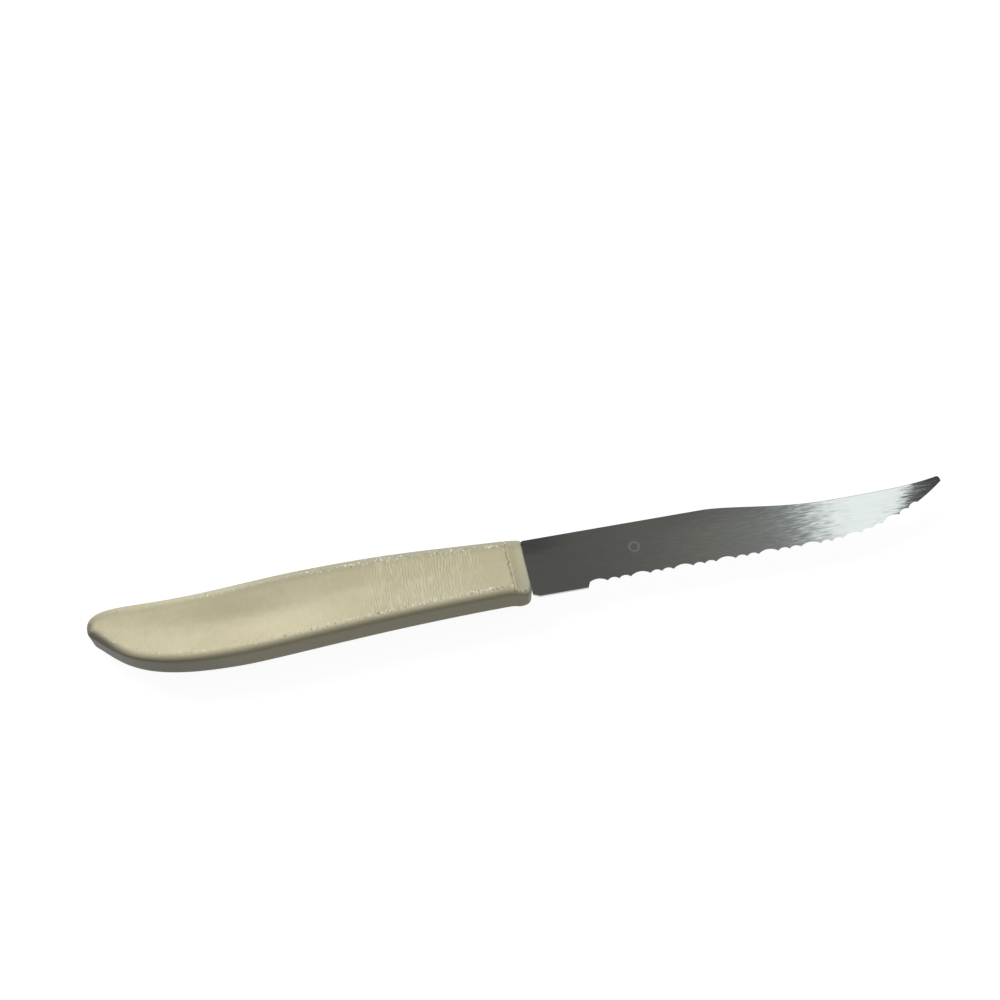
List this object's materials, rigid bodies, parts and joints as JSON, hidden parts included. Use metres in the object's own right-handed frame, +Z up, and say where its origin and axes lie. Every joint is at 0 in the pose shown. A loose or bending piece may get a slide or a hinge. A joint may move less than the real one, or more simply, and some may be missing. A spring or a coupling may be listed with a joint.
{
  "type": "serrated paring knife",
  "caption": "Serrated kitchen knife with an upturned tip and a one-piece moulded handle with a long shallow scoop in each face.",
  "frame": {"origin": "middle of the whole knife's outline, on the surface that the handle's lower face lies on", "axes": "+X from the butt to the blade's tip, +Y from the cutting edge to the spine, +Z up through the thickness"},
  "size_m": [0.2176, 0.019, 0.0125],
  "materials": {
    "handle_plastic": "satin moulded, finely rippled ahead of the scoops",
    "blade_steel": "brushed lengthwise"
  },
  "bodies": {
    "root": {"handle": "handle_plastic", "blade": "blade_steel"}
  },
  "joints": []
}
